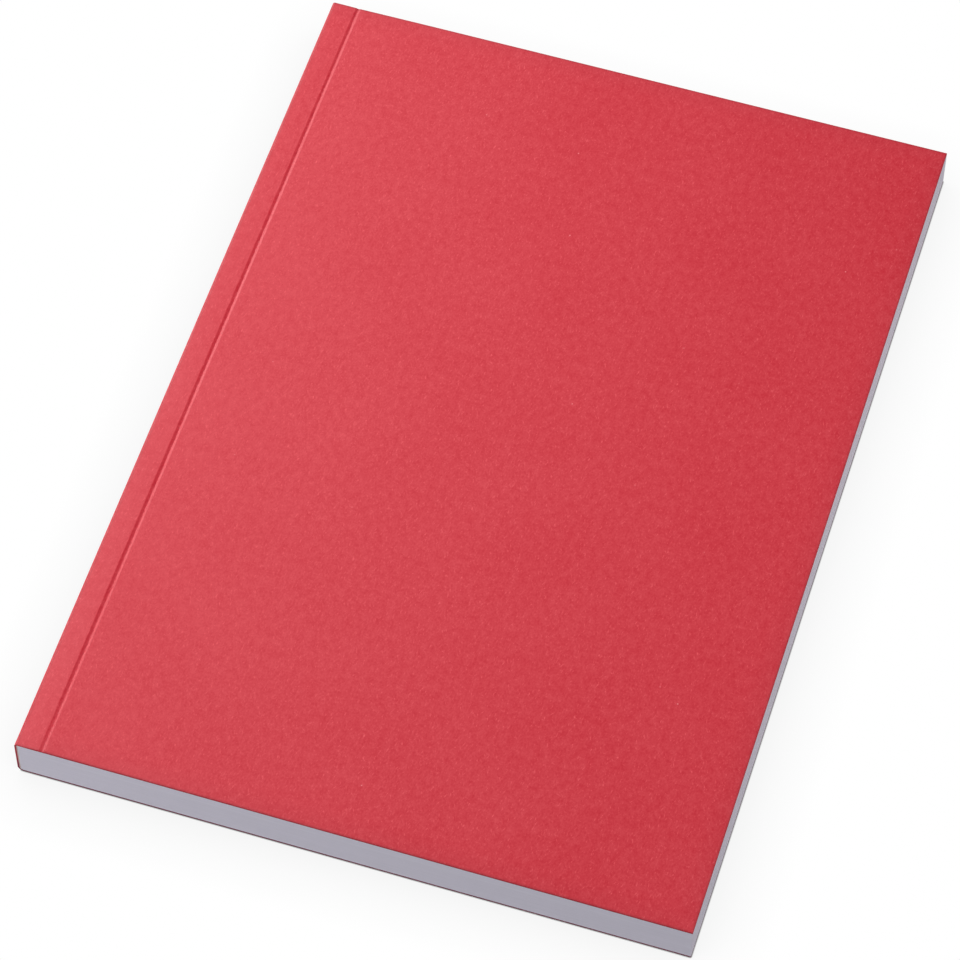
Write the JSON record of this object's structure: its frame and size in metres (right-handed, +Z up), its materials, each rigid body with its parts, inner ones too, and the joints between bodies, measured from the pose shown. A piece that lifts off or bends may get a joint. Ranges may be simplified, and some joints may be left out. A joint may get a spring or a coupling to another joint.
{
  "type": "softcover notebook",
  "caption": "Closed softcover notebook: plain card cover scored beside the spine, with front and back panels that open round a glued block of trimmed leaves.",
  "frame": {"origin": "centre of the closed book's underside, level with the table", "axes": "+X from the spine to the fore-edge, +Y from tail to head, +Z up through the front cover"},
  "size_m": [0.148, 0.21, 0.0106],
  "materials": {
    "cover_card": "matt, dyed through, with fine fibres",
    "leaves": "matt white, trimmed edges",
    "hot_melt": "waxy, slightly yellow"
  },
  "bodies": {
    "book_block": {"page_block": "leaves", "binding_glue": "hot_melt", "spine_cover": "cover_card"},
    "front_panel": {"front_cover": "cover_card"},
    "back_panel": {"back_cover": "cover_card"}
  },
  "joints": [
    {"name": "front_hinge", "type": "hinge", "parent": "book_block", "child": "front_panel", "pos_m": [-0.0678, 0, 0.01064], "axis": [0, -1, 0], "range_deg": [0, 178]},
    {"name": "back_hinge", "type": "hinge", "parent": "book_block", "child": "back_panel", "pos_m": [-0.0678, 0, 0], "axis": [0, 1, 0], "range_deg": [0, 178]}
  ]
}
